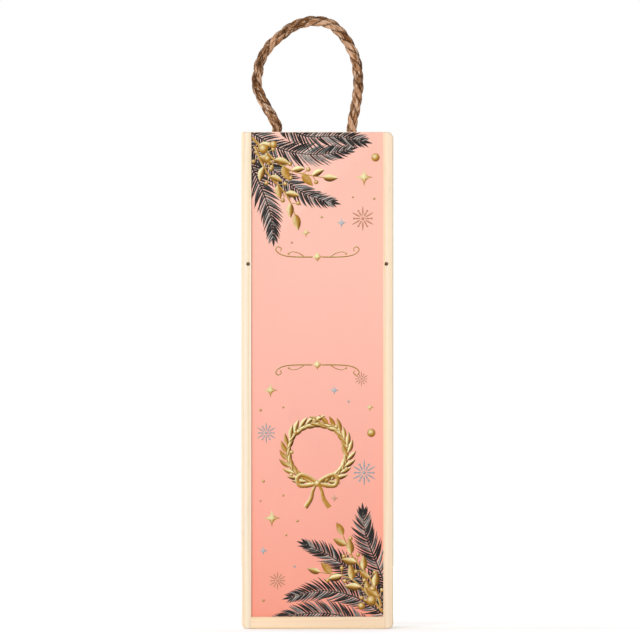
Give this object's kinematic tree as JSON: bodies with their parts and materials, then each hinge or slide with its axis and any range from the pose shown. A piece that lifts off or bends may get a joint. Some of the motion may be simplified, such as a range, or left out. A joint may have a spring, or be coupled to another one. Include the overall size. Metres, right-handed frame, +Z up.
{
  "type": "wooden wine box",
  "caption": "Upright pine box for one bottle, with a lid that slides up out of grooves, a neck rest inside and a knotted rope handle.",
  "frame": {"origin": "centre of the bottom face of the case, on the surface that it stands on", "axes": "+Z up, along the bottle; the lid faces -Y; +X to the right when looking at the lid"},
  "size_m": [0.107, 0.1, 0.4323],
  "materials": {
    "pine": "planed and sanded, unvarnished",
    "back_board": "sanded thin board, unvarnished",
    "printed_lid": "satin print on the front, bare wood behind",
    "jute": "three-strand twisted jute, hairy",
    "brad_steel": "bright drawn wire, heads flush with the wood"
  },
  "bodies": {
    "case": {"left_side": "pine", "right_side": "pine", "bottom_board": "pine", "top_board": "pine", "back_panel": "back_board", "neck_rest": "pine", "rope_tail_left": "jute", "rope_tail_right": "jute", "bottom_brads": "brad_steel", "top_brads": "brad_steel", "neck_rest_brads": "brad_steel", "back_brads": "brad_steel"},
    "lid": {"lid": "printed_lid"},
    "handle": {"rope_loop": "jute"}
  },
  "joints": [
    {"name": "lid_slide", "type": "slide", "parent": "case", "child": "lid", "axis": [0, 0, 1], "range_m": [0, 0.348]},
    {"name": "handle_fold", "type": "hinge", "parent": "case", "child": "handle", "pos_m": [0, 0.00125, 0.3538], "axis": [-1, 0, 0], "range_deg": [-30, 90]}
  ]
}
